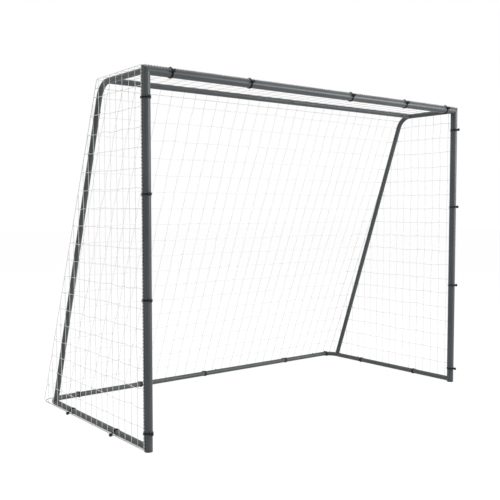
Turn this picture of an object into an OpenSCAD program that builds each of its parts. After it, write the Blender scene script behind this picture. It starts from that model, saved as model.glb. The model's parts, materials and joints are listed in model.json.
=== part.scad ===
// Sectional steel goal frame with a box net.
// X runs along the crossbar, Y from the goal mouth to the back, Z up.
// The origin is the middle of the footprint, on the ground. Sizes are millimetres.

/* [Overall] */
// Outer width over the two posts
goal_w = 2200; // [1800:10:3000]
// Height of the top of the crossbar above the ground
goal_h = 1690; // [1400:10:2200]
// Distance from the posts back to the rear top bar
top_depth = 340; // [260:10:500]
// Distance from the posts back to the rear ground bar
base_depth = 1070; // [950:10:1500]

/* [Tube] */
// Outer diameter of the posts and the crossbar
post_d = 40; // [36:1:50]
// Outer diameter of the side, rear and ground tubes
tube_d = 28; // [25:1:32]
// Outer diameter of the upright socket at each post's foot
foot_d = 38.4; // [36:0.2:50]
// Wall thickness of every tube
wall = 1.2; // [1:0.1:1.6]
// Centre-line radius of the bend at the top of each rear upright
bend_r = 100; // [70:5:140]
// Centre-line radius of the bend at each rear ground corner
base_bend_r = 80; // [60:5:110]

/* [Sections] */
// Crossbar arm of a front corner, from the post's axis to its seam
arm_in = 115; // [100:5:160]
// Downward arm of a front corner, from the crossbar's axis to its seam
arm_down = 116; // [100:2:160]
// Rearward arm of a front corner, from the post's axis to its seam
arm_back = 131; // [110:1:160]
// Stub of a rear corner that takes the rear top bar, from the side tube's axis
stub_in = 110; // [90:5:160]
// Straight leg of a rear corner below its bend
leg = 88; // [80:2:140]
// Height of the post socket above the ground
foot_h = 85; // [80:1:110]
// Rearward arm of a post foot, from the post's axis to its seam
foot_arm = 285; // [200:5:320]
// Stub of a ground corner that takes the rear upright
up_stub = 80; // [75:1:110]
// Gap between the start of the ground bend and the rear upright
up_gap = 0; // [0:5:40]
// Forward arm of a ground corner, from the rear bar's axis to its seam
side_arm = 308; // [250:2:400]
// Sideways arm of a ground corner, from the side bar's axis to its seam
rear_arm = 185; // [160:1:240]
// Distance of the seams in the long bars from the middle
mid_shift = 36; // [0:2:60]

/* [Push joints] */
// Length of the swaged neck that slips inside the next tube
neck_len = 55; // [45:1:65]
// Clearance around a neck, on the radius
slip = 0.15; // [0.1:0.05:0.3]
// Diameter of the snap button
btn_d = 8; // [6:0.5:10]
// Distance from a seam to the snap button
btn_set = 18; // [15:1:24]
// Height of the button's dome above the tube
btn_proud = 3; // [2:0.5:4]
// Clearance of the button in its holes, on the radius
btn_play = 0.35; // [0.3:0.05:0.5]
// Thickness of the spring strip behind the button
strip_t = 0.8; // [0.6:0.1:1]
// Width of the spring strip
strip_w = 7; // [5:0.5:8]
// Length of the spring strip's arms
strip_len = 34; // [30:1:36]

/* [Foot cap] */
// Thickness of the cap's tread
cap_t = 4; // [3:0.5:6]
// Depth of the cap's plug inside the tube
cap_plug = 12; // [8:1:16]

/* [Net] */
// Thickness of the net's cord
net_t = 2.4; // [2:0.2:3]
// Width of a strand
strand_w = 3; // [2.4:0.2:5]
// Width of the border
border_w = 6; // [5:0.5:8]
// Gaps across the back and the top
net_cols = 16; // [8:1:16]
// Gaps up the back and the sides
net_rows = 8; // [4:1:8]
// Gaps from front to back in the top
top_rows = 3; // [2:1:3]
// Gaps from front to back along the ground at the sides
side_cols = 8; // [5:1:8]

/* [Ball ties] */
// Diameter of the elastic cord
cord_d = 3; // [2.6:0.2:3.4]
// Diameter of the ball
ball_d = 17; // [14:1:18]
// Middle ties along the crossbar, as shares of half the width
cross_ties = [-0.472, 0.165, 0.573];
// Middle ties up the left post, as shares of the height of the crossbar's axis
left_ties = [0.404, 0.681];
// Middle ties up the right post
right_ties = [0.362, 0.65];
// Middle ties along the rear ground bar, as shares of half the width
rear_ties = [-0.465, -0.029, 0.602];
// Distance of the ties at the ends of a bar from the seam beside them
tie_set = 11; // [8:1:13]
// Angle round the right rear bend of the last ground tie
bend_tie = 29; // [5:1:60]

/* [Hidden] */

$fn = 48;
gap = 0.3;

// A bend, and a stub welded on a tube of its own size, is this much slimmer on the radius.
slimmer = 0.05;
post_r = post_d / 2;
tube_r = tube_d / 2;
foot_r = foot_d / 2;
post_x = goal_w / 2 - post_r;
top_z = goal_h - post_r;

// The goal stands on its foot caps and on the elastic rings, which it presses flat by this depth.
tie_flat = 0.5;
ring_r = tube_r + gap + cord_d;
ground_z = ring_r - tie_flat;

// Rear upright: tangent to its bend, and on to its foot on the side ground bar.
foot_y = base_depth - base_bend_r - up_gap;
bend_y = top_depth;
bend_z = top_z - bend_r;
up_dist = norm([foot_y - bend_y, bend_z - ground_z]);
bend_ang = atan2(bend_z - ground_z, foot_y - bend_y) + asin(bend_r / up_dist);
up_dir = [0, -cos(bend_ang), sin(bend_ang)];
up_tan = [0, bend_y + bend_r * sin(bend_ang), bend_z + bend_r * cos(bend_ang)];
up_run = sqrt(up_dist * up_dist - bend_r * bend_r);

// Net planes: each lies a small gap outside the tubes or the elastic rings that it rests on.
top_fall = asin((post_r - tube_r) / top_depth);
back_dist = norm([base_depth - bend_y, bend_z - ground_z]);
back_fall = atan2(bend_z - ground_z, base_depth - bend_y)
    + asin((bend_r + tube_r - ring_r) / back_dist);
top_n = [sin(top_fall), cos(top_fall)];
back_n = [sin(back_fall), cos(back_fall)];
top_c = top_n * [0, top_z] + post_r + gap;
back_c = back_n * [base_depth, ground_z] + ring_r + gap;
ridge = meet(top_c, back_c);
ridge_out = meet(top_c + net_t, back_c + net_t);
net_x = goal_w / 2;
net_skirt = cord_d / 2 + 1.5;
side_low = ground_z - net_skirt - border_w;
side_cell = [back_depth(side_low) / side_cols, (ridge[1] - side_low) / net_rows];

// Upper ties hold a tube and the net's border together, so their rings sit off centre.
tie_shift = net_t * 0.85;
ring_in = gap + tie_shift;
ball_out = ring_in + cord_d / 2 + ball_d * 0.4;
cross_ball_ang = 20;

// Ground ties reach through the net's lowest gaps to a ball outside it.
side_reach = post_r + gap + net_t + gap + ball_d / 2;
rear_reach = ring_r + gap + net_t + gap + ball_d / 2;
bend_reach = (rear_reach + base_bend_r * (1 - cos(bend_tie)) * back_n[0])
    / (back_n[0] * back_n[0] * cos(bend_tie) + back_n[1] * back_n[1]);

// The reach of the balls sets the middle of the footprint.
front_reach = (post_r + ball_out) * cos(cross_ball_ang) + ball_d / 2;
back_reach = base_depth + rear_reach * back_n[0] + ball_d / 2;
y_mid = (back_reach - front_reach) / 2;

// A joint: name, point on the seam, direction into the socket, direction of the button,
// and the socket's outer radius.
function side_joints(name, s) = [
    [str("button_crossbar_", name), [s * (post_x - arm_in), 0, top_z], [s, 0, 0], [0, 1, 0], post_r],
    [str("button_post_top_", name), [s * post_x, 0, top_z - arm_down], [0, 0, 1], [0, 1, 0], post_r],
    [str("button_post_foot_", name), [s * post_x, 0, foot_h], [0, 0, -1], [0, 1, 0], foot_r],
    [str("button_side_top_", name), [s * post_x, arm_back, top_z], [0, -1, 0], [-s, 0, 0], tube_r],
    [str("button_rear_top_", name), [s * (post_x - stub_in), top_depth, top_z], [s, 0, 0],
        [0, -1, 0], tube_r],
    [str("button_upright_top_", name), [s * post_x, 0, 0] + up_tan - leg * up_dir, up_dir,
        [-s, 0, 0], tube_r],
    [str("button_upright_foot_", name), [s * post_x, foot_y, ground_z] + up_stub * up_dir, -up_dir,
        [-s, 0, 0], tube_r],
    [str("button_rear_ground_", name), [s * (post_x - rear_arm), base_depth, ground_z], [s, 0, 0],
        [0, 0, 1], tube_r],
    [str("button_side_rear_", name), [s * post_x, base_depth - side_arm, ground_z], [0, 1, 0],
        [0, 0, 1], tube_r],
    [str("button_side_front_", name), [s * post_x, foot_arm, ground_z], [0, -1, 0], [0, 0, 1], tube_r]];
mid_joints = [
    ["button_crossbar_middle", [mid_shift, 0, top_z], [1, 0, 0], [0, 1, 0], post_r],
    ["button_rear_top_middle", [mid_shift, top_depth, top_z], [1, 0, 0], [0, -1, 0], tube_r],
    ["button_rear_ground_middle", [mid_shift, base_depth, ground_z], [1, 0, 0], [0, 0, 1], tube_r]];
joints = concat(side_joints("left", -1), side_joints("right", 1), mid_joints);

// Where the top plane and the back plane of the net meet, for their distances from the origin
function meet(a, b) =
    [a * back_n[1] - b * top_n[1], top_n[0] * b - back_n[0] * a]
    / (top_n[0] * back_n[1] - top_n[1] * back_n[0]);

// Height of the net's outer back plane above a depth, and its depth at a height
function back_depth(z) = (back_c + net_t - back_n[1] * z) / back_n[0];

function neck_r(r) = r - wall - slip;

// Moves a shape's Z axis onto d and its X axis onto u, at point p
module place(p, d, u) {
    v = cross(d, u);
    multmatrix([[u[0], v[0], d[0], p[0]], [u[1], v[1], d[1], p[1] - y_mid],
        [u[2], v[2], d[2], p[2]], [0, 0, 0, 1]]) children();
}

module at_joint(j) {
    place(j[1], j[2], j[3]) children();
}

// Outside of a tube along Z. r0 and r1 are the sockets that its ends enter, or 0 for an open end.
module swage_outside(len, r, r0, r1) {
    bevel = 0.6;
    rotate_extrude()
        polygon(concat(
            r0 > 0 ? [[0, -neck_len], [neck_r(r0), -neck_len], [neck_r(r0), 0], [r - bevel, 0], [r, bevel]]
                : [[0, 0], [r, 0]],
            r1 > 0 ? [[r, len - bevel], [r - bevel, len], [neck_r(r1), len], [neck_r(r1), len + neck_len],
                [0, len + neck_len]]
                : [[r, len], [0, len]]));
}

// Bore of the same tube, narrowed over a short taper where an end is swaged
module swage_bore(len, r, r0, r1) {
    taper = 8;
    ri = r - wall;
    rotate_extrude()
        polygon(concat(
            r0 > 0 ? [[0, -neck_len - 1], [neck_r(r0) - wall, -neck_len - 1], [neck_r(r0) - wall, wall],
                [ri, taper]]
                : [[0, -1], [ri, -1]],
            r1 > 0 ? [[ri, len - taper], [neck_r(r1) - wall, len - wall],
                [neck_r(r1) - wall, len + neck_len + 1], [0, len + neck_len + 1]]
                : [[ri, len + 1], [0, len + 1]]));
}

// Hole for a snap button through one wall, on the +X side of a tube along Z
module button_hole(r, z) {
    translate([0, 0, z]) rotate([0, 90, 0]) cylinder(r = btn_d / 2 + btn_play, h = r + 1);
}

// Straight bar from joint a to joint b. Each flag says whether that end is a neck.
module bar(a, b, neck_a, neck_b, r) {
    run = norm(b[1] - a[1]) - (neck_a ? gap : 0) - (neck_b ? gap : 0);
    dir = (b[1] - a[1]) / norm(b[1] - a[1]);
    start = a[1] + (neck_a ? gap : 0) * dir;
    color("dimgray")
        place(start, dir, a[3])
            difference() {
                swage_outside(run, r, neck_a ? a[4] : 0, neck_b ? b[4] : 0);
                swage_bore(run, r, neck_a ? a[4] : 0, neck_b ? b[4] : 0);
                button_hole(r, neck_a ? -btn_set - gap : btn_set);
                button_hole(r, neck_b ? run + btn_set + gap : run - btn_set);
            }
}

// Bend of a tube round the Z axis, from one angle to another. Each end laps into the
// straight tube beyond it.
module bend(r, radius, from, to) {
    lap = 0.4;
    rotate([0, 0, from - lap])
        rotate_extrude(angle = to - from + 2 * lap) translate([radius, 0]) circle(r = r - slimmer);
}

// Two tubes of radius r mitred at the origin: one goes down, the other along +X
module mitre(r, down, along) {
    big = down + along;
    intersection() {
        translate([0, 0, -down]) cylinder(r = r, h = down + r);
        rotate([90, 0, 0]) linear_extrude(height = 2 * big, center = true)
            polygon([[-big, big], [big, -big], [-big, -big]]);
    }
    intersection() {
        translate([-r, 0, 0]) rotate([0, 90, 0]) cylinder(r = r, h = along + r);
        rotate([90, 0, 0]) linear_extrude(height = 2 * big, center = true)
            polygon([[-big, big], [big, -big], [big, big]]);
    }
}

// Front corner: post top and crossbar end mitred together, with a side tube welded on behind
module front_corner(s) {
    color("dimgray")
        translate([s * post_x, -y_mid, top_z]) rotate([0, 0, s > 0 ? 180 : 0])
            difference() {
                union() {
                    mitre(post_r, arm_down, arm_in);
                    rotate([s > 0 ? 90 : -90, 0, 0]) cylinder(r = tube_r, h = arm_back);
                }
                mitre(post_r - wall, arm_down + 1, arm_in + 1);
                difference() {
                    rotate([s > 0 ? 90 : -90, 0, 0]) cylinder(r = tube_r - wall, h = arm_back + 1);
                    mitre(post_r, arm_down, arm_in);
                }
                translate([arm_in - btn_set, 0, 0]) rotate([s > 0 ? 90 : -90, 0, 0])
                    cylinder(r = btn_d / 2 + btn_play, h = post_r + 1);
                translate([0, 0, btn_set - arm_down]) rotate([s > 0 ? 90 : -90, 0, 0])
                    cylinder(r = btn_d / 2 + btn_play, h = post_r + 1);
                translate([0, -s * (arm_back - btn_set), 0]) rotate([0, 90, 0])
                    cylinder(r = btn_d / 2 + btn_play, h = tube_r + 1);
            }
}

// Rear corner: the side tube bends down into the upright, with a stub for the rear top bar
module rear_corner(s) {
    run = top_depth - arm_back - gap;
    color("dimgray")
        difference() {
            union() {
                place([s * post_x, arm_back + gap, top_z], [0, 1, 0], [-s, 0, 0])
                    swage_outside(run, tube_r, tube_r, 0);
                rear_bend(s, tube_r, leg);
                place([s * post_x, top_depth, top_z], [-s, 0, 0], [0, -1, 0])
                    cylinder(r = tube_r - slimmer, h = stub_in);
            }
            place([s * post_x, arm_back + gap, top_z], [0, 1, 0], [-s, 0, 0])
                swage_bore(run, tube_r, tube_r, 0);
            rear_bend(s, tube_r - wall, leg + 1);
            difference() {
                place([s * post_x, top_depth, top_z], [-s, 0, 0], [0, -1, 0])
                    cylinder(r = tube_r - wall, h = stub_in + 1);
                place([s * post_x, top_depth - tube_d, top_z], [0, 1, 0], [-s, 0, 0])
                    cylinder(r = tube_r, h = 2 * tube_d);
            }
            place([s * post_x, arm_back + gap, top_z], [0, 1, 0], [-s, 0, 0])
                button_hole(tube_r, -btn_set - gap);
            place([s * (post_x - stub_in), top_depth, top_z], [s, 0, 0], [0, -1, 0])
                button_hole(tube_r, btn_set);
            place([s * post_x, 0, 0] + up_tan - leg * up_dir, up_dir, [-s, 0, 0])
                button_hole(tube_r, btn_set);
        }
}

// Bend at the top of a rear upright, with its straight leg
module rear_bend(s, r, down) {
    translate([s * post_x, bend_y - y_mid, bend_z]) rotate([90, 0, 90])
        bend(r, bend_r, 90 - bend_ang, 90);
    place([s * post_x, 0, 0] + up_tan - down * up_dir, up_dir, [-s, 0, 0]) cylinder(r = r, h = down);
}

// Ground corner: a tube bent in the ground plane, with a stub that takes the upright
module ground_corner(s) {
    color("dimgray")
        difference() {
            union() {
                ground_bend(s, tube_r, 0);
                place([s * post_x, foot_y, ground_z], up_dir, [-s, 0, 0])
                    cylinder(r = tube_r - slimmer, h = up_stub);
            }
            ground_bend(s, tube_r - wall, 1);
            difference() {
                place([s * post_x, foot_y, ground_z], up_dir, [-s, 0, 0])
                    cylinder(r = tube_r - wall, h = up_stub + 1);
                ground_bend(s, tube_r, 0);
            }
            place([s * post_x, foot_y, ground_z] + up_stub * up_dir, -up_dir, [-s, 0, 0])
                button_hole(tube_r, btn_set);
            place([s * (post_x - rear_arm), base_depth, ground_z], [s, 0, 0], [0, 0, 1])
                button_hole(tube_r, btn_set);
            place([s * post_x, base_depth - side_arm, ground_z], [0, 1, 0], [0, 0, 1])
                button_hole(tube_r, btn_set);
        }
}

// Side arm, bend and rear arm of a ground corner; extra lengthens both arms for the bore
module ground_bend(s, r, extra) {
    side_run = side_arm - base_bend_r;
    rear_run = rear_arm - base_bend_r;
    place([s * post_x, base_depth - side_arm - extra, ground_z], [0, 1, 0], [s, 0, 0])
        cylinder(r = r, h = side_run + extra);
    place([s * (post_x - base_bend_r), base_depth, ground_z], [-s, 0, 0], [0, 1, 0])
        cylinder(r = r, h = rear_run + extra);
    translate([s * (post_x - base_bend_r), base_depth - base_bend_r - y_mid, ground_z])
        bend(r, base_bend_r, s > 0 ? 0 : 90, s > 0 ? 90 : 180);
}

// Post foot: an upright socket for the post, with the front end of the side ground bar welded
// on and relieved over the cap's tread
module post_foot(s) {
    color("dimgray")
        difference() {
            union() {
                place([s * post_x, 0, cap_t], [0, 0, 1], [0, 1, 0]) cylinder(r = foot_r, h = foot_h - cap_t);
                place([s * post_x, 0, ground_z], [0, 1, 0], [0, 0, 1]) cylinder(r = tube_r, h = foot_arm);
            }
            place([s * post_x, 0, 0], [0, 0, 1], [0, 1, 0]) cylinder(r = foot_r - wall, h = foot_h + 1);
            place([s * post_x, 0, 0], [0, 0, 1], [0, 1, 0]) cylinder(r = foot_r + gap, h = cap_t);
            difference() {
                place([s * post_x, 0, ground_z], [0, 1, 0], [0, 0, 1])
                    cylinder(r = tube_r - wall, h = foot_arm + 1);
                place([s * post_x, 0, 0], [0, 0, 1], [0, 1, 0]) cylinder(r = foot_r, h = foot_h);
            }
            place([s * post_x, 0, foot_h], [0, 0, -1], [0, 1, 0]) button_hole(foot_r, btn_set);
            place([s * post_x, foot_arm, ground_z], [0, -1, 0], [0, 0, 1]) button_hole(tube_r, btn_set);
        }
}

// Foot cap: a rounded plastic tread with a hollow plug pushed into the post foot
module foot_cap(s) {
    edge = 1.5;
    plug_r = foot_r - wall - slip;
    color("black")
        place([s * post_x, 0, 0], [0, 0, 1], [0, 1, 0])
            rotate_extrude() {
                difference() {
                    square([foot_r, cap_t]);
                    translate([foot_r - edge, 0]) square(edge);
                }
                translate([foot_r - edge, edge]) circle(r = edge);
                translate([plug_r - 2, cap_t - 1]) square([2, cap_plug + 1]);
            }
}

// Snap button: a domed pin on a flange, seated under the neck's wall
module snap_button(j) {
    under = neck_r(j[4]) - wall;
    flange_r = btn_d / 2 + 1.6;
    seat = sqrt(under * under - flange_r * flange_r) - gap;
    flange_t = 1.2;
    tip = j[4] + btn_proud;
    dome = btn_d / 4;
    color("black")
        at_joint(j) translate([0, 0, btn_set]) rotate([0, 90, 0])
            rotate_extrude() {
                translate([0, seat - flange_t]) square([flange_r, flange_t]);
                translate([0, seat - 0.1]) square([btn_d / 2, tip - dome - seat + 0.1]);
                translate([0, tip - dome - 0.1]) square([btn_d / 2 - dome, dome + 0.1]);
                intersection() {
                    translate([btn_d / 2 - dome, tip - dome]) circle(r = dome);
                    translate([0, tip - dome - 0.1]) square([btn_d, dome + 0.2]);
                }
            }
}

// Spring behind a button: a strip folded into a U that presses on both walls of the neck
module button_spring(j) {
    under = neck_r(j[4]) - wall;
    flange_r = btn_d / 2 + 1.6;
    high = sqrt(under * under - flange_r * flange_r) - gap - 1.2 - gap;
    low = gap - sqrt(under * under - strip_w * strip_w / 4);
    fold_r = (high - low) / 2;
    color("silver")
        at_joint(j) translate([(high + low) / 2, 0, btn_set - strip_len + flange_r])
            rotate([90, 0, 0]) linear_extrude(height = strip_w, center = true) {
                for (side = [-1, 1])
                    translate([side * (fold_r - strip_t / 2) - strip_t / 2, 0]) square([strip_t, strip_len]);
                difference() {
                    circle(r = fold_r);
                    circle(r = fold_r - strip_t);
                    translate([-fold_r - 1, 0]) square([2 * fold_r + 2, fold_r + 1]);
                }
            }
}

// Flat net: an outline with a grid of gaps. The gaps stay inside the inner outline.
module lattice(outer, inner, cell, origin, cols, rows) {
    linear_extrude(height = net_t)
        difference() {
            polygon(outer);
            intersection() {
                polygon(inner);
                translate(origin)
                    for (i = [0:cols - 1], k = [0:rows - 1])
                        translate([i * cell[0] + strand_w / 2, k * cell[1] + strand_w / 2])
                            square([cell[0] - strand_w, cell[1] - strand_w]);
            }
        }
}

// Corners of a rectangle
function box_2d(x0, x1, y0, y1) = [[x0, y0], [x1, y0], [x1, y1], [x0, y1]];

module net_top() {
    long = ridge[0] / cos(top_fall) - (post_r + gap) * tan(top_fall) + border_w / 2;
    start = [0, 0, top_z] + (post_r + gap) * [0, top_n[0], top_n[1]];
    cell = [2 * net_x / net_cols, long / top_rows];
    color("white")
        place(start, [0, top_n[0], top_n[1]], [1, 0, 0])
            translate([0, -border_w / 2])
                lattice(box_2d(-net_x, net_x, 0, long),
                    box_2d(border_w - net_x, net_x - border_w, border_w, long - strand_w),
                    cell, [-net_x, 0], net_cols, top_rows);
}

module net_back() {
    down = [0, cos(back_fall), -sin(back_fall)];
    touch = [0, base_depth, ground_z] + (ring_r + gap) * [0, back_n[0], back_n[1]];
    long = (touch - [0, ridge[0], ridge[1]]) * down + net_skirt + border_w;
    cell = [2 * net_x / net_cols, long / net_rows];
    color("white")
        place([0, ridge[0], ridge[1]], [0, back_n[0], back_n[1]], [1, 0, 0])
            lattice(box_2d(-net_x, net_x, 0, long),
                box_2d(border_w - net_x, net_x - border_w, strand_w, long - border_w),
                cell, [-net_x, 0], net_cols, net_rows);
}

// Side net, drawn with its depth along X and its height along Y
module net_side(s) {
    front = -border_w / 2;
    low = side_low;
    high = (top_c + net_t - top_n[0] * front) / top_n[1];
    foot = back_depth(low);
    inset = border_w / sin(back_fall);
    color("white")
        translate([s > 0 ? net_x + gap + net_t : -net_x - gap, -y_mid, 0])
            mirror([1, 0, 0]) rotate([90, 0, 90])
                lattice([[front, low], [foot, low], ridge_out, [front, high]],
                    [[front + border_w, low + border_w], [back_depth(low + border_w) - inset, low + border_w],
                        [back_depth(ridge[1] - strand_w) - inset, ridge[1] - strand_w],
                        [front + border_w, ridge[1] - strand_w]],
                    side_cell, [0, low], side_cols, net_rows);
}

// Doubled elastic ring round the Z axis, with the given inner radius
module elastic_ring(inner) {
    rotate_extrude()
        translate([inner + cord_d / 2, 0]) {
            square(cord_d, center = true);
            for (side = [-1, 1]) translate([0, side * cord_d / 2]) circle(d = cord_d, $fn = 24);
        }
}

// Upper tie on a tube along Z: its ring also goes round the net's border, on the +X side
module upper_tie(r, ball_ang) {
    translate([tie_shift, 0, 0]) {
        elastic_ring(r + ring_in);
        rotate([0, 0, ball_ang]) translate([r + ball_out, 0, 0]) sphere(d = ball_d);
    }
}

// Ground tie on a tube along Z: two strands run out along +X to a ball, and the ring is
// pressed flat where the goal stands on it
module ground_tie(reach, lean) {
    strand_d = cord_d * 0.9;
    difference() {
        rotate([0, 0, lean]) {
            elastic_ring(tube_r + gap);
            for (side = [-1, 1])
                translate([tube_r + gap + cord_d / 2, 0, side * cord_d / 2]) rotate([0, 90, 0])
                    cylinder(d = strand_d, h = reach - tube_r - cord_d, $fn = 24);
            translate([reach, 0, 0]) sphere(d = ball_d);
        }
        translate([0, -ground_z - ball_d / 2, 0]) cube([4 * ball_d, ball_d, ball_d], center = true);
    }
}

// Place of a tie along a row of strands, moved to beside a strand that it would meet
function beside(at, start, cell) =
    let (strand = start + round((at - start) / cell) * cell, keep = strand_w / 2 + cord_d + gap)
    abs(at - strand) > keep ? at : at < strand ? strand - keep : strand + keep;

module ties_crossbar() {
    seam = post_x - arm_in;
    spots = concat(tie_set - seam, cross_ties * post_x, seam + btn_set + btn_d);
    color("black")
        for (at = spots)
            place([beside(at, net_x, 2 * net_x / net_cols), 0, top_z], [1, 0, 0], [0, 0, 1])
                upper_tie(post_r, 90 - cross_ball_ang);
}

module ties_posts() {
    ends = [foot_h, top_z - arm_down];
    color("black") {
        for (at = concat(ends, left_ties * top_z))
            place([-post_x, 0, beside(at, side_low, side_cell[1])], [0, 0, 1], [-1, 0, 0])
                upper_tie(post_r, 135);
        for (at = concat(ends, right_ties * top_z))
            place([post_x, 0, beside(at, side_low, side_cell[1])], [0, 0, 1], [1, 0, 0])
                upper_tie(post_r, -45);
    }
}

module ties_side_ground() {
    front_seam = foot_arm;
    rear_seam = base_depth - side_arm;
    color("black") {
        for (at = [front_seam + tie_set, rear_seam + btn_set - btn_d - 1])
            place([-post_x, beside(at, 0, side_cell[0]), ground_z], [0, 1, 0], [-1, 0, 0])
                ground_tie(side_reach, 0);
        for (at = [front_seam + tie_set / 2, rear_seam - tie_set])
            place([post_x, beside(at, 0, side_cell[0]), ground_z], [0, -1, 0], [1, 0, 0])
                ground_tie(side_reach, 0);
    }
}

module ties_rear_ground() {
    corner = [post_x - base_bend_r, base_depth - base_bend_r, ground_z];
    out = [sin(bend_tie), cos(bend_tie), 0];
    seam = post_x - rear_arm;
    color("black") {
        for (at = concat(btn_d - btn_set + 3 - seam, rear_ties * post_x))
            place([beside(at, net_x, 2 * net_x / net_cols), base_depth, ground_z], [1, 0, 0], [0, 1, 0])
                ground_tie(rear_reach, 90 - back_fall);
        place(corner + base_bend_r * out, [cos(bend_tie), -sin(bend_tie), 0], out)
            ground_tie(bend_reach, 90 - back_fall);
    }
}

// Picks a joint by its name
function joint(name) = [for (j = joints) if (j[0] == str("button_", name)) j][0];

module post(side) {
    bar(joint(str("post_foot_", side)), joint(str("post_top_", side)), true, true, post_r);
}

module rear_upright(side) {
    bar(joint(str("upright_foot_", side)), joint(str("upright_top_", side)), true, true, tube_r);
}

module side_ground_bar(side) {
    bar(joint(str("side_front_", side)), joint(str("side_rear_", side)), true, true, tube_r);
}

// A long bar in two lengths: the left one has a neck at both ends, the right one at its outer end
module left_length(place_name, r) {
    bar(joint(str(place_name, "_left")), joint(str(place_name, "_middle")), true, true, r);
}

module right_length(place_name, r) {
    bar(joint(str(place_name, "_middle")), joint(str(place_name, "_right")), false, true, r);
}

// Springs of the joints whose seams lie in the given span of heights
module button_springs(low, high) {
    for (j = joints) if (j[1][2] >= low && j[1][2] < high) button_spring(j);
}

front_corner(-1);  // front_corner_left
front_corner(1);  // front_corner_right
post("left");  // post_left
post("right");  // post_right
left_length("crossbar", post_r);  // crossbar_left
right_length("crossbar", post_r);  // crossbar_right
rear_corner(-1);  // rear_corner_left
rear_corner(1);  // rear_corner_right
left_length("rear_top", tube_r);  // rear_top_bar_left
right_length("rear_top", tube_r);  // rear_top_bar_right
rear_upright("left");  // rear_upright_left
rear_upright("right");  // rear_upright_right
ground_corner(-1);  // ground_corner_left
ground_corner(1);  // ground_corner_right
left_length("rear_ground", tube_r);  // rear_ground_bar_left
right_length("rear_ground", tube_r);  // rear_ground_bar_right
side_ground_bar("left");  // side_ground_bar_left
side_ground_bar("right");  // side_ground_bar_right
post_foot(-1);  // post_foot_left
post_foot(1);  // post_foot_right
foot_cap(-1);  // foot_cap_left
foot_cap(1);  // foot_cap_right
button_springs(goal_h / 2, goal_h);  // button_springs_top
button_springs(0, goal_h / 2);  // button_springs_base
net_top();
net_back();
net_side(-1);  // net_side_left
net_side(1);  // net_side_right
ties_crossbar();
ties_posts();
ties_side_ground();
ties_rear_ground();
for (j = joints)
    snap_button(j);
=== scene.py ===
import json
import math
import random

import bpy
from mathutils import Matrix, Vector


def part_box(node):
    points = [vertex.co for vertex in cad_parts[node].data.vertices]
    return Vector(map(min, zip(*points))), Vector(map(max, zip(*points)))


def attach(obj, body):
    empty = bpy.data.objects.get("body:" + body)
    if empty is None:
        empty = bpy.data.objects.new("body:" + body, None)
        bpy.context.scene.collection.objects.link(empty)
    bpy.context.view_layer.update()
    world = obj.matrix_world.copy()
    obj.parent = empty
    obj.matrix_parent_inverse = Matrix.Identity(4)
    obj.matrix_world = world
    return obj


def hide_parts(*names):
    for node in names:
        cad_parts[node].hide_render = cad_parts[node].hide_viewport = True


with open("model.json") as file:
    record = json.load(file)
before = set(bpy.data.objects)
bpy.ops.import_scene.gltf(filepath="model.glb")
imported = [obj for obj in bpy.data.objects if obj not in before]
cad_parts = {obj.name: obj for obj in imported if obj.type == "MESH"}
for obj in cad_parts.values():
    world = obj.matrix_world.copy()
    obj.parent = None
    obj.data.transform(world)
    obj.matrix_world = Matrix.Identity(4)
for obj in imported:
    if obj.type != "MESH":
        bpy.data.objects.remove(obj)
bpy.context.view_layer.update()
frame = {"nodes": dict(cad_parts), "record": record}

# ---------------------------------------------------------------- camera and studio
# The goal is seen from its front left at chest height. It stands on a white sweep, in the
# even light of a studio, with a broad lamp on each side and one overhead.

CAMERA_PLACE = (-2.730, -3.348, 1.073)
CAMERA_TILT = -3.17
CAMERA_TURN = -38.30
CAMERA_LENS = 53.42
CAMERA_REACH = 100

camera_data = bpy.data.cameras.new("camera")
camera_data.lens = CAMERA_LENS
camera_data.clip_end = CAMERA_REACH
camera = bpy.data.objects.new("camera", camera_data)
camera.location = CAMERA_PLACE
camera.rotation_euler = (math.radians(90 + CAMERA_TILT), 0, math.radians(CAMERA_TURN))
bpy.context.scene.collection.objects.link(camera)
bpy.context.scene.camera = camera
bpy.context.scene.view_settings.view_transform = "Standard"


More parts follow.
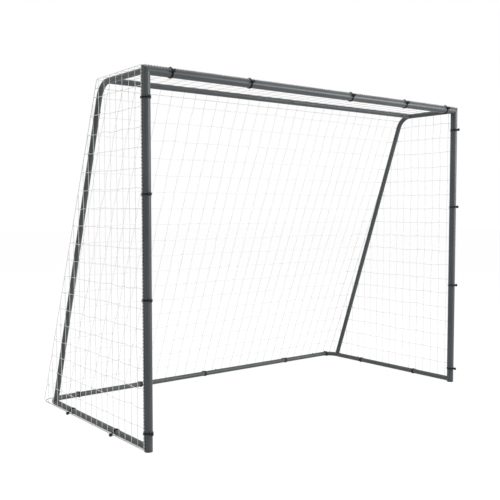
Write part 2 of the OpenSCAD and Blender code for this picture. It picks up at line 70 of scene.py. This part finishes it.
class Shade:
    """An output socket of a node tree. Sums and products of it add their Math nodes."""

    def __init__(self, tree, socket):
        self.tree = tree
        self.socket = socket

    def node(self, kind, settings=None, inputs=None, output=0):
        """Adds a node of any kind: its settings first, then its sockets' values or links."""
        made = self.tree.nodes.new(kind)
        for name, value in (settings or {}).items():
            setattr(made, name, value)
        for name, value in (inputs or {}).items():
            if isinstance(value, Shade):
                self.tree.links.new(value.socket, made.inputs[name])
            else:
                made.inputs[name].default_value = value
        return Shade(self.tree, made.outputs[output])

    def maths(self, operation, first, second):
        return self.node("ShaderNodeMath", {"operation": operation}, {0: first, 1: second})

    def __add__(self, other):
        return self.maths("ADD", self, other)

    def __radd__(self, other):
        return self.maths("ADD", other, self)

    def __sub__(self, other):
        return self.maths("SUBTRACT", self, other)

    def __rsub__(self, other):
        return self.maths("SUBTRACT", other, self)

    def __mul__(self, other):
        return self.maths("MULTIPLY", self, other)

    def __rmul__(self, other):
        return self.maths("MULTIPLY", other, self)

    def mask(self, low, high):
        """0 below low, 1 above high, and a smooth step between them."""
        settings = {"interpolation_type": "SMOOTHSTEP"}
        inputs = {"Value": self, "From Min": low, "From Max": high}
        return self.node("ShaderNodeMapRange", settings, inputs)

    def colours(self, first, second):
        """The first colour where this is 0 and the second where it is 1."""
        inputs = {0: self, 6: first, 7: second}
        return self.node("ShaderNodeMix", {"data_type": "RGBA"}, inputs, output=2)

    def noise(self, scale, detail=2.0, roughness=0.5):
        """Noise over these coordinates."""
        inputs = {"Vector": self, "Scale": scale, "Detail": detail, "Roughness": roughness}
        return self.node("ShaderNodeTexNoise", {}, inputs)

    def bump(self, distance, strength):
        """A bump whose height is this value."""
        inputs = {"Height": self, "Distance": distance, "Strength": strength}
        return self.node("ShaderNodeBump", {}, inputs)


def seen_directly(tree):
    """1 for a ray from the eye or from a mirror-like or clear surface, and 0 for light."""
    path = tree.nodes.new("ShaderNodeLightPath")
    names = ("Is Camera Ray", "Is Glossy Ray", "Is Transmission Ray")
    eye, glossy, clear = [Shade(tree, path.outputs[name]) for name in names]
    return eye.maths("MINIMUM", eye + glossy + clear, 1.0)


WORLD_LIGHT = 0.38
world = bpy.data.worlds.new("studio")
bpy.context.scene.world = world
world.use_nodes = True
world_tree = world.node_tree
world_out = world_tree.nodes["World Output"]
white = Shade(world_tree, world_tree.nodes["Background"].outputs[0])
white.socket.node.inputs["Color"].default_value = (1, 1, 1, 1)
white.socket.node.inputs["Strength"].default_value = 1.0
dim = white.node("ShaderNodeBackground", {}, {"Color": (1, 1, 1, 1), "Strength": WORLD_LIGHT})
sky = white.node("ShaderNodeMixShader", {}, {0: seen_directly(world_tree), 1: dim, 2: white})
world_tree.links.new(sky.socket, world_out.inputs["Surface"])

# To the eye most of the floor's own tone gives way to white, and a soft shadow stays.
FLOOR_SIZE = 60
FLOOR_TONE = (0.82, 0.82, 0.82, 1)
FLOOR_GLOW = 1.08
FLOOR_WHITE = 0.88
bpy.ops.mesh.primitive_plane_add(size=FLOOR_SIZE)
floor = bpy.context.object
floor.name = "floor"
floor_material = bpy.data.materials.new("white_floor")
floor_material.use_nodes = True
floor_tree = floor_material.node_tree
floor_tree.nodes.remove(floor_tree.nodes["Principled BSDF"])
floor_out = floor_tree.nodes["Material Output"]
direct = seen_directly(floor_tree)
matt = direct.node("ShaderNodeBsdfDiffuse", {}, {"Color": FLOOR_TONE})
glow = direct.node("ShaderNodeEmission", {}, {"Color": (1, 1, 1, 1), "Strength": FLOOR_GLOW})
shares = {0: direct * FLOOR_WHITE, 1: matt, 2: glow}
floor_mix = direct.node("ShaderNodeMixShader", {}, shares)
floor_tree.links.new(floor_mix.socket, floor_out.inputs["Surface"])
floor.data.materials.append(floor_material)

# Lamps: name, place, size and power. All of them face the middle of the goal.
LAMP_AIM = Vector((0, 0, 0.8))
LAMPS = (
    ("lamp_right", (4.4, -5.0, 2.4), 2.8, 330),
    ("lamp_left", (-6.0, 1.5, 3.0), 2.5, 40),
    ("lamp_top", (-1.2, 0.3, 5.5), 4.0, 150),
)
for name, place, size, power in LAMPS:
    lamp_data = bpy.data.lights.new(name, "AREA")
    lamp_data.energy = power
    lamp_data.size = size
    lamp = bpy.data.objects.new(name, lamp_data)
    lamp.location = place
    aim = LAMP_AIM - lamp.location
    lamp.rotation_euler = aim.to_track_quat("-Z", "Y").to_euler()
    bpy.context.scene.collection.objects.link(lamp)

# ---------------------------------------------------------------- steel tubes
# Every tube is drawn steel, 40 or 28 mm across, swaged at one end so that it slips into the
# next, and powder coated slate grey all over. The coat has a fine orange peel.


def new_material(name):
    """A material, its shader node, and the place of each point on the object."""
    material = bpy.data.materials.new(name)
    material.use_nodes = True
    tree = material.node_tree
    place = Shade(tree, tree.nodes.new("ShaderNodeTexCoord").outputs["Object"])
    return material, tree.nodes["Principled BSDF"], place


def feed(shader, inputs):
    """Sets or links the sockets of a shader node."""
    for name, value in inputs.items():
        if isinstance(value, Shade):
            value.tree.links.new(value.socket, shader.inputs[name])
        else:
            shader.inputs[name].default_value = value


def dress(slot, material):
    """Gives a material to each CAD node of one material slot."""
    for part in frame["record"]["subparts"]:
        if part["material_slot"] == slot:
            node = frame["nodes"][part["node"]]
            node.data.materials.clear()
            node.data.materials.append(material)


PAINT_DARK = (0.056, 0.063, 0.068, 1)
PAINT_LIGHT = (0.074, 0.082, 0.087, 1)
PAINT_DUSTY = (0.125, 0.127, 0.125, 1)
paint, shader, place = new_material("tube_paint")
cloud = place.noise(4.0, 3.0)
speckle = place.noise(1400.0, 1.0)
peel = place.noise(420.0, 2.0, 0.45)
nick = place.noise(75.0, 4.0, 0.65).mask(0.72, 0.76)
height = place.node("ShaderNodeSeparateXYZ", {}, {0: place}, 2)
dust = (1 - height.mask(0.0, 0.07)) * place.noise(30.0, 4.0).mask(0.35, 0.75)
tone = (cloud * 0.6 + speckle * 0.4).mask(0.36, 0.64)
colour = tone.colours(PAINT_DARK, PAINT_LIGHT)
colour = (dust * 0.35).colours(colour, PAINT_DUSTY)
colour = (nick * 0.22).colours(colour, PAINT_DUSTY)
feed(shader, {
    "Base Color": colour,
    "Roughness": 0.36 + cloud * 0.06 + dust * 0.18 + nick * 0.1,
    "Normal": peel.bump(0.0002, 0.10),
    "Specular IOR Level": 0.32,
})
dress("tube_paint", paint)

# ---------------------------------------------------------------- weld beads
# Where one tube stands on another it is welded all round. The bead is a fillet with fine
# ripples, coated with the tubes. Each front corner's mitre has a low bead, ground nearly flush.


def sweep(name, runs, thickness, facets=8, closed=False):
    """A mesh of round cord along each run of (point, swell), with its number of facets round it."""
    curve = bpy.data.curves.new(name, "CURVE")
    curve.dimensions = "3D"
    curve.bevel_depth = thickness / 2
    curve.bevel_resolution = facets // 2 - 2
    curve.use_fill_caps = True
    for run in runs:
        spline = curve.splines.new("POLY")
        spline.use_cyclic_u = closed
        spline.points.add(len(run) - 1)
        for point, (place, swell) in zip(spline.points, run):
            point.co = (*place, 1)
            point.radius = swell
    piece = bpy.data.objects.new(name, curve)
    bpy.context.scene.collection.objects.link(piece)
    bpy.ops.object.select_all(action="DESELECT")
    piece.select_set(True)
    bpy.context.view_layer.objects.active = piece
    bpy.ops.object.convert(target="MESH")
    piece = bpy.context.object
    bpy.ops.object.shade_smooth()
    return piece


def middle(node):
    """The middle of a CAD node's box."""
    low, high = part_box(node)
    return (low + high) / 2


BEAD_THICKNESS = 0.0034
BEAD_STEPS = 56
BEAD_RIPPLE = 0.07
NEARLY_ALONG = 0.9
X = Vector((1, 0, 0))
Y = Vector((0, 1, 0))
Z = Vector((0, 0, 1))


def fillet(centre, branch, branch_radius, main_axis, main_radius):
    """A run of points round the foot of a tube that stands on another tube."""
    branch = branch.normalized()
    across = branch.cross(X if abs(branch.x) < NEARLY_ALONG else Z).normalized()
    beside = branch.cross(across)
    run = []
    for step in range(BEAD_STEPS):
        turn = math.tau * step / BEAD_STEPS
        offset = branch_radius * (math.cos(turn) * across + math.sin(turn) * beside)
        axis = main_axis(offset)
        flat_offset = offset - offset.dot(axis) * axis
        flat_branch = branch - branch.dot(axis) * axis
        a = flat_branch.length_squared
        b = flat_offset.dot(flat_branch)
        c = flat_offset.length_squared - main_radius**2
        reach = (-b + math.sqrt(max(b * b - a * c, 0))) / a
        swell = 1 + BEAD_RIPPLE * (1 if step % 2 else -1)
        run.append((centre + offset + reach * branch, swell))
    return run


post_radius = (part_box("crossbar_right")[1].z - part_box("crossbar_right")[0].z) / 2
tube_radius = (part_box("rear_top_bar_right")[1].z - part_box("rear_top_bar_right")[0].z) / 2
foot_radius = (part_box("foot_cap_right")[1].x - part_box("foot_cap_right")[0].x) / 2
top_z = middle("crossbar_right").z
mouth_y = middle("crossbar_right").y
rear_top_y = middle("rear_top_bar_right").y
rear_ground_y = middle("rear_ground_bar_right").y
ground_z = middle("rear_ground_bar_right").z
upright_low, upright_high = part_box("rear_upright_right")
upright_span = Vector((0, upright_low.y - upright_high.y + tube_radius, upright_high.z - upright_low.z))
upright_rise = upright_span.normalized()
GROUND_BEND = 0.080
upright_foot = rear_ground_y - GROUND_BEND


def lengthwise(offset):
    """The axis of a tube that runs from front to back."""
    return Y


def upright(offset):
    """The axis of a post."""
    return Z


beads = []
for side, word in ((-1, "left"), (1, "right")):
    post_x = middle("post_" + word).x

    def corner(offset):
        """The axis of the tube on whose side of the front corner's mitre a point lies."""
        return X if offset.z > side * offset.x else Z

    front_corner = Vector((post_x, mouth_y, top_z))
    rear_corner = Vector((post_x, rear_top_y, top_z))
    ground_corner = Vector((post_x, upright_foot, ground_z))
    post_foot = Vector((post_x, mouth_y, ground_z))
    beads.append(fillet(front_corner, Y, tube_radius, corner, post_radius))
    beads.append(fillet(rear_corner, -side * X, tube_radius, lengthwise, tube_radius))
    beads.append(fillet(ground_corner, upright_rise, tube_radius, lengthwise, tube_radius))
    beads.append(fillet(post_foot, Y, tube_radius, upright, foot_radius))
fillets = sweep("weld_beads", beads, BEAD_THICKNESS, closed=True)

MITRE_THICKNESS = 0.0016
mitres = []
for side in (-1, 1):
    post_x = side * abs(middle("post_left").x)
    run = []
    for step in range(BEAD_STEPS):
        turn = math.tau * step / BEAD_STEPS
        slant = post_radius * math.cos(turn)
        depth = mouth_y + post_radius * math.sin(turn)
        run.append((Vector((post_x + side * slant, depth, top_z + slant)), 1))
    mitres.append(run)
mitre_beads = sweep("mitre_beads", mitres, MITRE_THICKNESS, closed=True)
for piece in (fillets, mitre_beads):
    piece.data.materials.append(paint)
    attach(piece, "goal")

# ---------------------------------------------------------------- foot caps
# A cap of black moulded polyethylene is pushed into the bottom of each post's foot. Its
# rounded tread keeps the steel off the ground.

CAP_BLACK = (0.020, 0.020, 0.021, 1)
CAP_WORN = (0.060, 0.059, 0.056, 1)
cap_plastic, shader, place = new_material("cap_plastic")
grain = place.noise(1800.0, 3.0)
wear = place.noise(90.0, 4.0).mask(0.5, 0.8)
feed(shader, {
    "Base Color": (wear * 0.5).colours(CAP_BLACK, CAP_WORN),
    "Roughness": 0.55 + wear * 0.15,
    "Normal": grain.bump(0.0002, 0.35),
})
dress("cap_plastic", cap_plastic)

# ---------------------------------------------------------------- snap buttons
# Each push joint is held by a domed button of black nylon. A folded strip of blued spring
# steel inside the neck pushes it out through both walls.

BUTTON_BLACK = (0.014, 0.014, 0.015, 1)
BUTTON_RUBBED = (0.050, 0.050, 0.052, 1)
button_plastic, shader, place = new_material("button_plastic")
rub = place.noise(600.0, 3.0).mask(0.45, 0.75)
feed(shader, {
    "Base Color": (rub * 0.6).colours(BUTTON_BLACK, BUTTON_RUBBED),
    "Roughness": 0.34 + rub * 0.16,
    "Normal": place.noise(2600.0, 2.0).bump(0.0001, 0.2),
})
dress("button_plastic", button_plastic)

STEEL = (0.30, 0.30, 0.32, 1)
STEEL_BLUED = (0.16, 0.18, 0.24, 1)
spring_steel, shader, place = new_material("spring_steel")
heat = place.noise(45.0, 3.0)
feed(shader, {
    "Base Color": heat.mask(0.35, 0.7).colours(STEEL, STEEL_BLUED),
    "Roughness": 0.28 + place.noise(900.0, 2.0) * 0.12,
    "Metallic": 1.0,
    "Normal": place.noise(1200.0, 1.0).bump(0.0001, 0.1),
})
dress("spring_steel", spring_steel)

# ---------------------------------------------------------------- net
# The net is knotted from white polyethylene twine in one piece: 31 meshes wide, 19 up and 19
# deep at the ground. A rope is laced round its mouth and its hem, and a strong twine runs along
# each fold. It hangs a little unevenly, so its knots stray from the grid.

TWINE_THICKNESS = 0.0022
TWINE_FACETS = 6
FOLD_THICKNESS = 0.0030
ROPE_THICKNESS = 0.0050
COLUMNS = 31
ROWS = 19
DEEP = 19
KNOT_SWELL = 1.75
KNOT_REACH = 0.0032
KNOT_CORE = 0.4
STRAY = 0.0022
SAG = 0.0015
CLEARANCE = 0.0003
FOLD_RADIUS = 0.018
FOLD_STEPS = 6
TOP_ROWS = 6
ROW_RISE = 0.0881
SEAM_DROP = 0.040
EDGE_ROOM = 0.35

straying = random.Random(7)
side_low, side_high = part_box("net_side_right")
top_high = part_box("net_top")[1]
back_low, back_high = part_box("net_back")
half_sheet = (side_high.x - side_low.x) / 2
net_x = side_low.x + half_sheet
brow_z = top_high.z - half_sheet
ridge = Vector((0, top_high.y - half_sheet, back_high.z + half_sheet))
hem = Vector((0, back_high.y - half_sheet, back_low.z + half_sheet))
side_hem_z = side_low.z + ROPE_THICKNESS / 2
column_step = 2 * net_x / COLUMNS
deep_step = (hem.y - mouth_y) / DEEP
down_back = (hem - ridge).normalized()
along_top = (ridge - Vector((0, mouth_y, brow_z))).normalized()


def top_point(y):
    """The place on the net's top at one depth."""
    return Vector((0, y, brow_z + (ridge.z - brow_z) * (y - mouth_y) / (ridge.y - mouth_y)))


def back_point(z):
    """The place on the net's back at one height."""
    return ridge + down_back * (ridge.z - z) / -down_back.z


def stray(point, sideways, along, held=False):
    """A knot's place, off its grid unless it is held by a rope or a fold."""
    if held:
        return point.copy()
    return point + sideways * straying.gauss(0, STRAY) + along * straying.gauss(0, STRAY)


def twine(knots):
    """A run of twine through (place, is_knot): it swells at each knot and hangs between them."""
    run = []
    for index, (place, knotted) in enumerate(knots):
        before = knots[index - 1][0] if index else None
        after = knots[index + 1][0] if index + 1 < len(knots) else None
        if not knotted:
            run.append((place, 1))
        else:
            if before is not None:
                back = (before - place).normalized() * KNOT_REACH
                run += [(place + back, 1), (place + back * KNOT_CORE, KNOT_SWELL)]
            if after is not None:
                ahead = (after - place).normalized() * KNOT_REACH
                run += [(place + ahead * KNOT_CORE, KNOT_SWELL), (place + ahead, 1)]
        if after is not None and knotted and knots[index + 1][1]:
            level = 1 - abs((after - place).normalized().z)
            run.append(((place + after) / 2 - Vector((0, 0, SAG * level)), 1))
    return run


# The top and back: a station for each row of knots, from the mouth over the fold to the hem
fold_turn = math.acos(along_top.dot(down_back))
fold_set = FOLD_RADIUS * math.tan(fold_turn / 2)
below_top = -Vector((0, -along_top.z, along_top.y))
fold_centre = ridge - along_top * fold_set + below_top * FOLD_RADIUS
stations = [(top_point(mouth_y), True)]
stations += [(top_point(mouth_y + deep_step * step), True) for step in range(1, TOP_ROWS + 1)]
for step in range(FOLD_STEPS + 1):
    lean = math.atan2(-along_top.z, along_top.y) + fold_turn * step / FOLD_STEPS
    outward = Vector((0, math.sin(lean), math.cos(lean)))
    stations.append((fold_centre + FOLD_RADIUS * outward, step == FOLD_STEPS / 2))
fold_index = len(stations) - 1 - FOLD_STEPS // 2
stations += [(back_point(brow_z - ROW_RISE * row), True) for row in range(1, ROWS)]
stations.append((hem, True))

held_stations = (0, fold_index, len(stations) - 1)
knots = []
for column in range(COLUMNS + 1):
    edge = column in (0, COLUMNS)
    line = []
    for index, (point, knotted) in enumerate(stations):
        point = point + Vector((-net_x + column * column_step, 0, 0))
        free = knotted and not edge and index not in held_stations
        along = along_top if index < fold_index else down_back
        line.append((stray(point, X, along, held=not free), knotted))
    knots.append(line)
columns = [twine(line) for line in knots[1:-1]]
rows = []
for index, (point, knotted) in enumerate(stations):
    if knotted and index not in held_stations:
        rows.append(twine([line[index] for line in knots]))
roof = sweep("net_top_and_back", columns + rows, TWINE_THICKNESS, TWINE_FACETS)
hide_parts("net_top", "net_back")

# The sides share the rows' heights with the back, and the top's depths with the mouth.
sides = []
for side, word in ((-1, "left"), (1, "right")):
    grid = {}
    for deep in range(DEEP):
        for row in range(1, ROWS):
            z = brow_z - ROW_RISE * row
            y = mouth_y + deep_step * deep
            if y < back_point(z).y - EDGE_ROOM * deep_step:
                point = Vector((side * net_x, y, z))
                grid[deep, row] = stray(point, Y, Z, held=deep == 0)
    runs = []
    for row in range(1, ROWS):
        line = [(grid[deep, row], deep > 0) for deep in range(DEEP) if (deep, row) in grid]
        line.append((back_point(brow_z - ROW_RISE * row) + Vector((side * net_x, 0, 0)), False))
        runs.append(twine(line))
    for deep in range(1, DEEP):
        y = mouth_y + deep_step * deep
        if y < ridge.y - FOLD_RADIUS / 2:
            head = top_point(y)
        else:
            share = max(0.0, (y - ridge.y) / (hem.y - ridge.y))
            head = ridge + (hem - ridge) * share
        line = [(Vector((side * net_x, head.y, head.z)), False)]
        line += [(grid[deep, row], True) for row in range(1, ROWS) if (deep, row) in grid]
        line.append((Vector((side * net_x, y, side_hem_z)), False))
        runs.append(twine(line))
    panel = sweep("net_panel_" + word, runs, TWINE_THICKNESS, TWINE_FACETS)
    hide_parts("net_side_" + word)
    sides.append(panel)

# Strong twine along the folds and a seam below the top, and a rope round the mouth and the hem
fold_runs = [[(line[fold_index][0], 1) for line in knots]]
seam = back_point(ridge.z - SEAM_DROP)
fold_runs.append([(seam - net_x * X, 1), (seam + net_x * X, 1)])
for line in (knots[0], knots[-1]):
    fold_runs.append([(place, 1) for place, knotted in line])
folds = sweep("net_folds", fold_runs, FOLD_THICKNESS)

rope_x = post_radius + middle("post_right").x + ROPE_THICKNESS / 2 + CLEARANCE
rope_z = post_radius + top_z + ROPE_THICKNESS / 2 + CLEARANCE
foot = Vector((-rope_x, mouth_y, side_hem_z))


def mirrored(points):
    """Points on the left, followed by the same points on the right in the opposite order."""
    return points + [Vector((-point.x, point.y, point.z)) for point in reversed(points)]


# Each corner is rounded with two points: the rope leaves one tube there and meets the next.
mouth = mirrored([
    foot,
    Vector((-rope_x, mouth_y, top_z + 0.010)),
    Vector((-rope_x + 0.006, mouth_y, rope_z - 0.004)),
    Vector((-rope_x + 0.016, mouth_y, rope_z)),
])
hem_line = mirrored([
    foot,
    Vector((-rope_x, hem.y - 0.030, side_hem_z)),
    Vector((-rope_x + 0.004, hem.y - 0.008, side_hem_z + 0.002)),
    Vector((-rope_x + 0.030, hem.y, hem.z)),
])
ROPE_STEP = 0.040


def rope_run(corners):
    """A run along the corners, with a point about every ROPE_STEP."""
    run = []
    for start, end in zip(corners, corners[1:]):
        steps = max(1, round((end - start).length / ROPE_STEP))
        run += [(start.lerp(end, step / steps), 1) for step in range(steps)]
    return run + [(corners[-1], 1)]


rope = sweep("net_border_rope", [rope_run(mouth), rope_run(hem_line)], ROPE_THICKNESS)

TWINE_WHITE = (0.88, 0.88, 0.87, 1)
# These darker colours are painted shade in the grooves between strands, mixed with random soil.
TWINE_SOIL_AND_GROOVE_SHADE = (0.74, 0.74, 0.73, 1)
ROPE_SOIL_AND_GROOVE_SHADE = (0.30, 0.30, 0.29, 1)


def twisted(name, pitch, depth, soil_and_groove_shade):
    """White twine whose strands are laid with the given pitch. Its colour darkens in the grooves
    between strands, which is painted shade, and in random patches of soil.
    """
    material, shader, place = new_material(name)
    strands = {"Vector": place, "Scale": math.tau / (20 * pitch), "Distortion": 0.4}
    lay = place.node("ShaderNodeTexWave", {"bands_direction": "DIAGONAL"}, strands)
    fuzz = place.noise(3000.0, 2.0)
    soil = place.noise(14.0, 3.0)
    # Base colour: painted shade in the grooves between strands, mixed with random soil; the bump is the
    # strands' own relief.
    feed(shader, {
        "Base Color": (lay * 0.5 + soil * 0.5).mask(0.2, 0.85).colours(soil_and_groove_shade, TWINE_WHITE),
        "Roughness": 0.55 + fuzz * 0.15,
        "Normal": (lay + fuzz * 0.3).bump(depth, 0.6),
    })
    return material


twine_white = twisted("net_twine", 0.0030, 0.0003, TWINE_SOIL_AND_GROOVE_SHADE)
rope_white = twisted("net_rope", 0.0075, 0.0006, ROPE_SOIL_AND_GROOVE_SHADE)
for piece in (roof, *sides, folds, rope):
    piece.data.materials.append(rope_white if piece == rope else twine_white)
    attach(piece, "goal")

# ---------------------------------------------------------------- ball ties
# Each tie is a loop of black elastic cord with a moulded ball. The doubled cord goes round the
# tube and the net's rope and hooks over its own ball, and its two strands spread away from it.

CORD_THICKNESS = 0.0030
BALL_RADIUS = 0.0085
STRANDS_APART = 0.0033
ROPE_CLEARANCE = 0.0002
LOOP_STEPS = 40
SPREAD = 0.005
CORD_BLACK = (0.004, 0.004, 0.004, 1)
CORD_WORN = (0.013, 0.013, 0.014, 1)
BALL_BLACK = (0.005, 0.005, 0.005, 1)
BALL_SCUFFED = (0.022, 0.022, 0.023, 1)

elastic, shader, place = new_material("elastic_cord")
slanted = {"bands_direction": "DIAGONAL"}
weave = place.node("ShaderNodeTexWave", slanted, {"Vector": place, "Scale": 260.0})
cover = place.node("ShaderNodeTexWave", {"bands_direction": "X"}, {"Vector": place, "Scale": 210.0})
feed(shader, {
    "Base Color": (weave * 0.6 + cover * 0.4).colours(CORD_BLACK, CORD_WORN),
    "Roughness": 0.75 + weave * 0.1,
    "Specular IOR Level": 0.2,
    "Normal": (weave + cover).bump(0.0002, 0.5),
})
ball_black, shader, place = new_material("ball_plastic")
scuff = place.noise(320.0, 4.0).mask(0.55, 0.8)
feed(shader, {
    "Base Color": (scuff * 0.5).colours(BALL_BLACK, BALL_SCUFFED),
    "Roughness": 0.45 + scuff * 0.2,
    "Specular IOR Level": 0.3,
    "Normal": place.noise(1500.0, 2.0).bump(0.0002, 0.15),
})


def clusters(values, gap=0.02):
    """The middles of the groups of values that lie over a gap apart."""
    values = sorted(values)
    groups = [[values[0]]]
    for value in values[1:]:
        if value - groups[-1][-1] > gap:
            groups.append([])
        groups[-1].append(value)
    return [(group[0] + group[-1]) / 2 for group in groups]


def tie_places(node, axis, side=0):
    """The places of a CAD node's ties along an axis, on one side of the goal or on both."""
    points = [vertex.co for vertex in frame["nodes"][node].data.vertices]
    return clusters([point[axis] for point in points if not side or point.x * side > 0])


cord_runs = []
ball_places = []


def ball_tie(centre, along, out, up, tube, rope_at, ball_at):
    """Adds one tie. rope_at and ball_at are offsets from the tube's axis along out and up."""
    reach = tube + CORD_THICKNESS / 2 + CLEARANCE
    rope_reach = (ROPE_THICKNESS + CORD_THICKNESS) / 2 + ROPE_CLEARANCE
    ball_turn = math.atan2(ball_at[1], ball_at[0])
    for strand in (-1, 1):
        run = []
        for step in range(LOOP_STEPS):
            turn = math.tau * step / LOOP_STEPS
            away = (math.cos(turn), math.sin(turn))
            past_rope = rope_at[0] * away[0] + rope_at[1] * away[1] + rope_reach
            if reach >= past_rope:
                flat = (reach * away[0], reach * away[1])
            else:
                flat = (rope_at[0] + rope_reach * away[0], rope_at[1] + rope_reach * away[1])
            spread = strand * STRANDS_APART / 2
            if strand > 0:
                spread += SPREAD * (1 - math.cos(turn - ball_turn)) / 2
            point = centre + flat[0] * out + flat[1] * up + spread * along
            point.z = max(point.z, CORD_THICKNESS / 2)
            run.append((point, 1))
        cord_runs.append(run)
    outward = ball_at[0] * out + ball_at[1] * up
    ball_places.append((centre + outward, outward))


# On the crossbar the ball stands a little above the front, and on a post it is in front.
RING_SHIFT = 0.002
BALL_STANDOFF = 0.0058
BALL_TURN = math.radians(10)
GROUND_BALL_DROP = 0.0078
REAR_BALL_RISE = 0.004
ball_out = post_radius + RING_SHIFT + CORD_THICKNESS + BALL_STANDOFF
rope_out = post_radius + ROPE_THICKNESS / 2 + CLEARANCE
crossbar_ball = (ball_out * math.cos(BALL_TURN), ball_out * math.sin(BALL_TURN) + RING_SHIFT)
post_ball = (RING_SHIFT, -ball_out - RING_SHIFT)
for x in tie_places("ties_crossbar", 0):
    ball_tie(Vector((x, mouth_y, top_z)), -X, -Y, Z, post_radius, (0, rope_out), crossbar_ball)
post_distance = abs(middle("post_left").x)
side_rope = (rope_x - post_distance, side_hem_z - ground_z)
side_ball = (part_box("ties_side_ground")[1].x - BALL_RADIUS - post_distance, -GROUND_BALL_DROP)
for side in (-1, 1):
    post_x = side * post_distance
    for z in tie_places("ties_posts", 2, side):
        ball_tie(Vector((post_x, mouth_y, z)), -Z, side * X, Y, post_radius, (rope_out, 0), post_ball)
    for y in tie_places("ties_side_ground", 1, side):
        ball_tie(Vector((post_x, y, ground_z)), -Y, side * X, Z, tube_radius, side_rope, side_ball)

# The last tie at the back is on the bend, where the rope runs farther from the tube.
rear_rope = (hem.y - rear_ground_y, hem.z - ground_z)
rear_ball = (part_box("ties_rear_ground")[1].y - BALL_RADIUS - rear_ground_y, REAR_BALL_RISE)
for x in tie_places("ties_rear_ground", 0)[:-1]:
    ball_tie(Vector((x, rear_ground_y, ground_z)), -X, Y, Z, tube_radius, rear_rope, rear_ball)
BEND_TURN = math.radians(29)
bend_out = Vector((math.sin(BEND_TURN), math.cos(BEND_TURN), 0))
bend_centre = Vector((post_distance - GROUND_BEND, upright_foot, ground_z))
bend_gap = GROUND_BEND * (1 - math.cos(BEND_TURN))
bend_rope = ((rear_rope[0] + bend_gap) / math.cos(BEND_TURN), rear_rope[1])
bend_ball = ((rear_ball[0] + bend_gap) / math.cos(BEND_TURN), rear_ball[1])
bend_place = bend_centre + GROUND_BEND * bend_out
ball_tie(bend_place, bend_out.cross(Z), bend_out, Z, tube_radius, bend_rope, bend_ball)
cords = sweep("tie_cords", cord_runs, CORD_THICKNESS, closed=True)
cords.data.materials.append(elastic)

# One ball: a sphere with a short neck towards the tube and a dimple where the knot sits
CAP_START = 0.9
NECK_LENGTH = 0.002
DIMPLE_RIM = 0.0006
DIMPLE_DEPTH = 0.0012
bpy.ops.object.select_all(action="DESELECT")
bpy.ops.mesh.primitive_uv_sphere_add(segments=20, ring_count=12, radius=BALL_RADIUS)
ball = bpy.context.object
bpy.ops.object.mode_set(mode="EDIT")
bpy.ops.mesh.select_mode(type="FACE")
for end in (-1, 1):
    bpy.ops.mesh.select_all(action="DESELECT")
    bpy.ops.object.mode_set(mode="OBJECT")
    for face in ball.data.polygons:
        face.select = face.center.z * end > BALL_RADIUS * CAP_START
    bpy.ops.object.mode_set(mode="EDIT")
    if end < 0:
        bpy.ops.mesh.extrude_region_move(TRANSFORM_OT_translate={"value": (0, 0, -NECK_LENGTH)})
    else:
        bpy.ops.mesh.inset(thickness=DIMPLE_RIM, depth=0)
        bpy.ops.transform.translate(value=(0, 0, -DIMPLE_DEPTH))
bpy.ops.object.mode_set(mode="OBJECT")
bpy.ops.object.shade_smooth()
balls = []
for place, outward in ball_places:
    copy = ball.copy()
    copy.data = ball.data.copy()
    copy.location = place
    copy.rotation_euler = outward.to_track_quat("Z", "Y").to_euler()
    bpy.context.scene.collection.objects.link(copy)
    balls.append(copy)
bpy.data.objects.remove(ball)
bpy.ops.object.select_all(action="DESELECT")
for copy in balls:
    copy.select_set(True)
bpy.context.view_layer.objects.active = balls[0]
bpy.ops.object.join()
ball_set = bpy.context.object
ball_set.name = "tie_balls"
bpy.ops.object.transform_apply(location=True, rotation=True, scale=True)
ball_set.data.materials.append(ball_black)
for piece in (cords, ball_set):
    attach(piece, "goal")
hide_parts("ties_crossbar", "ties_posts", "ties_side_ground", "ties_rear_ground")
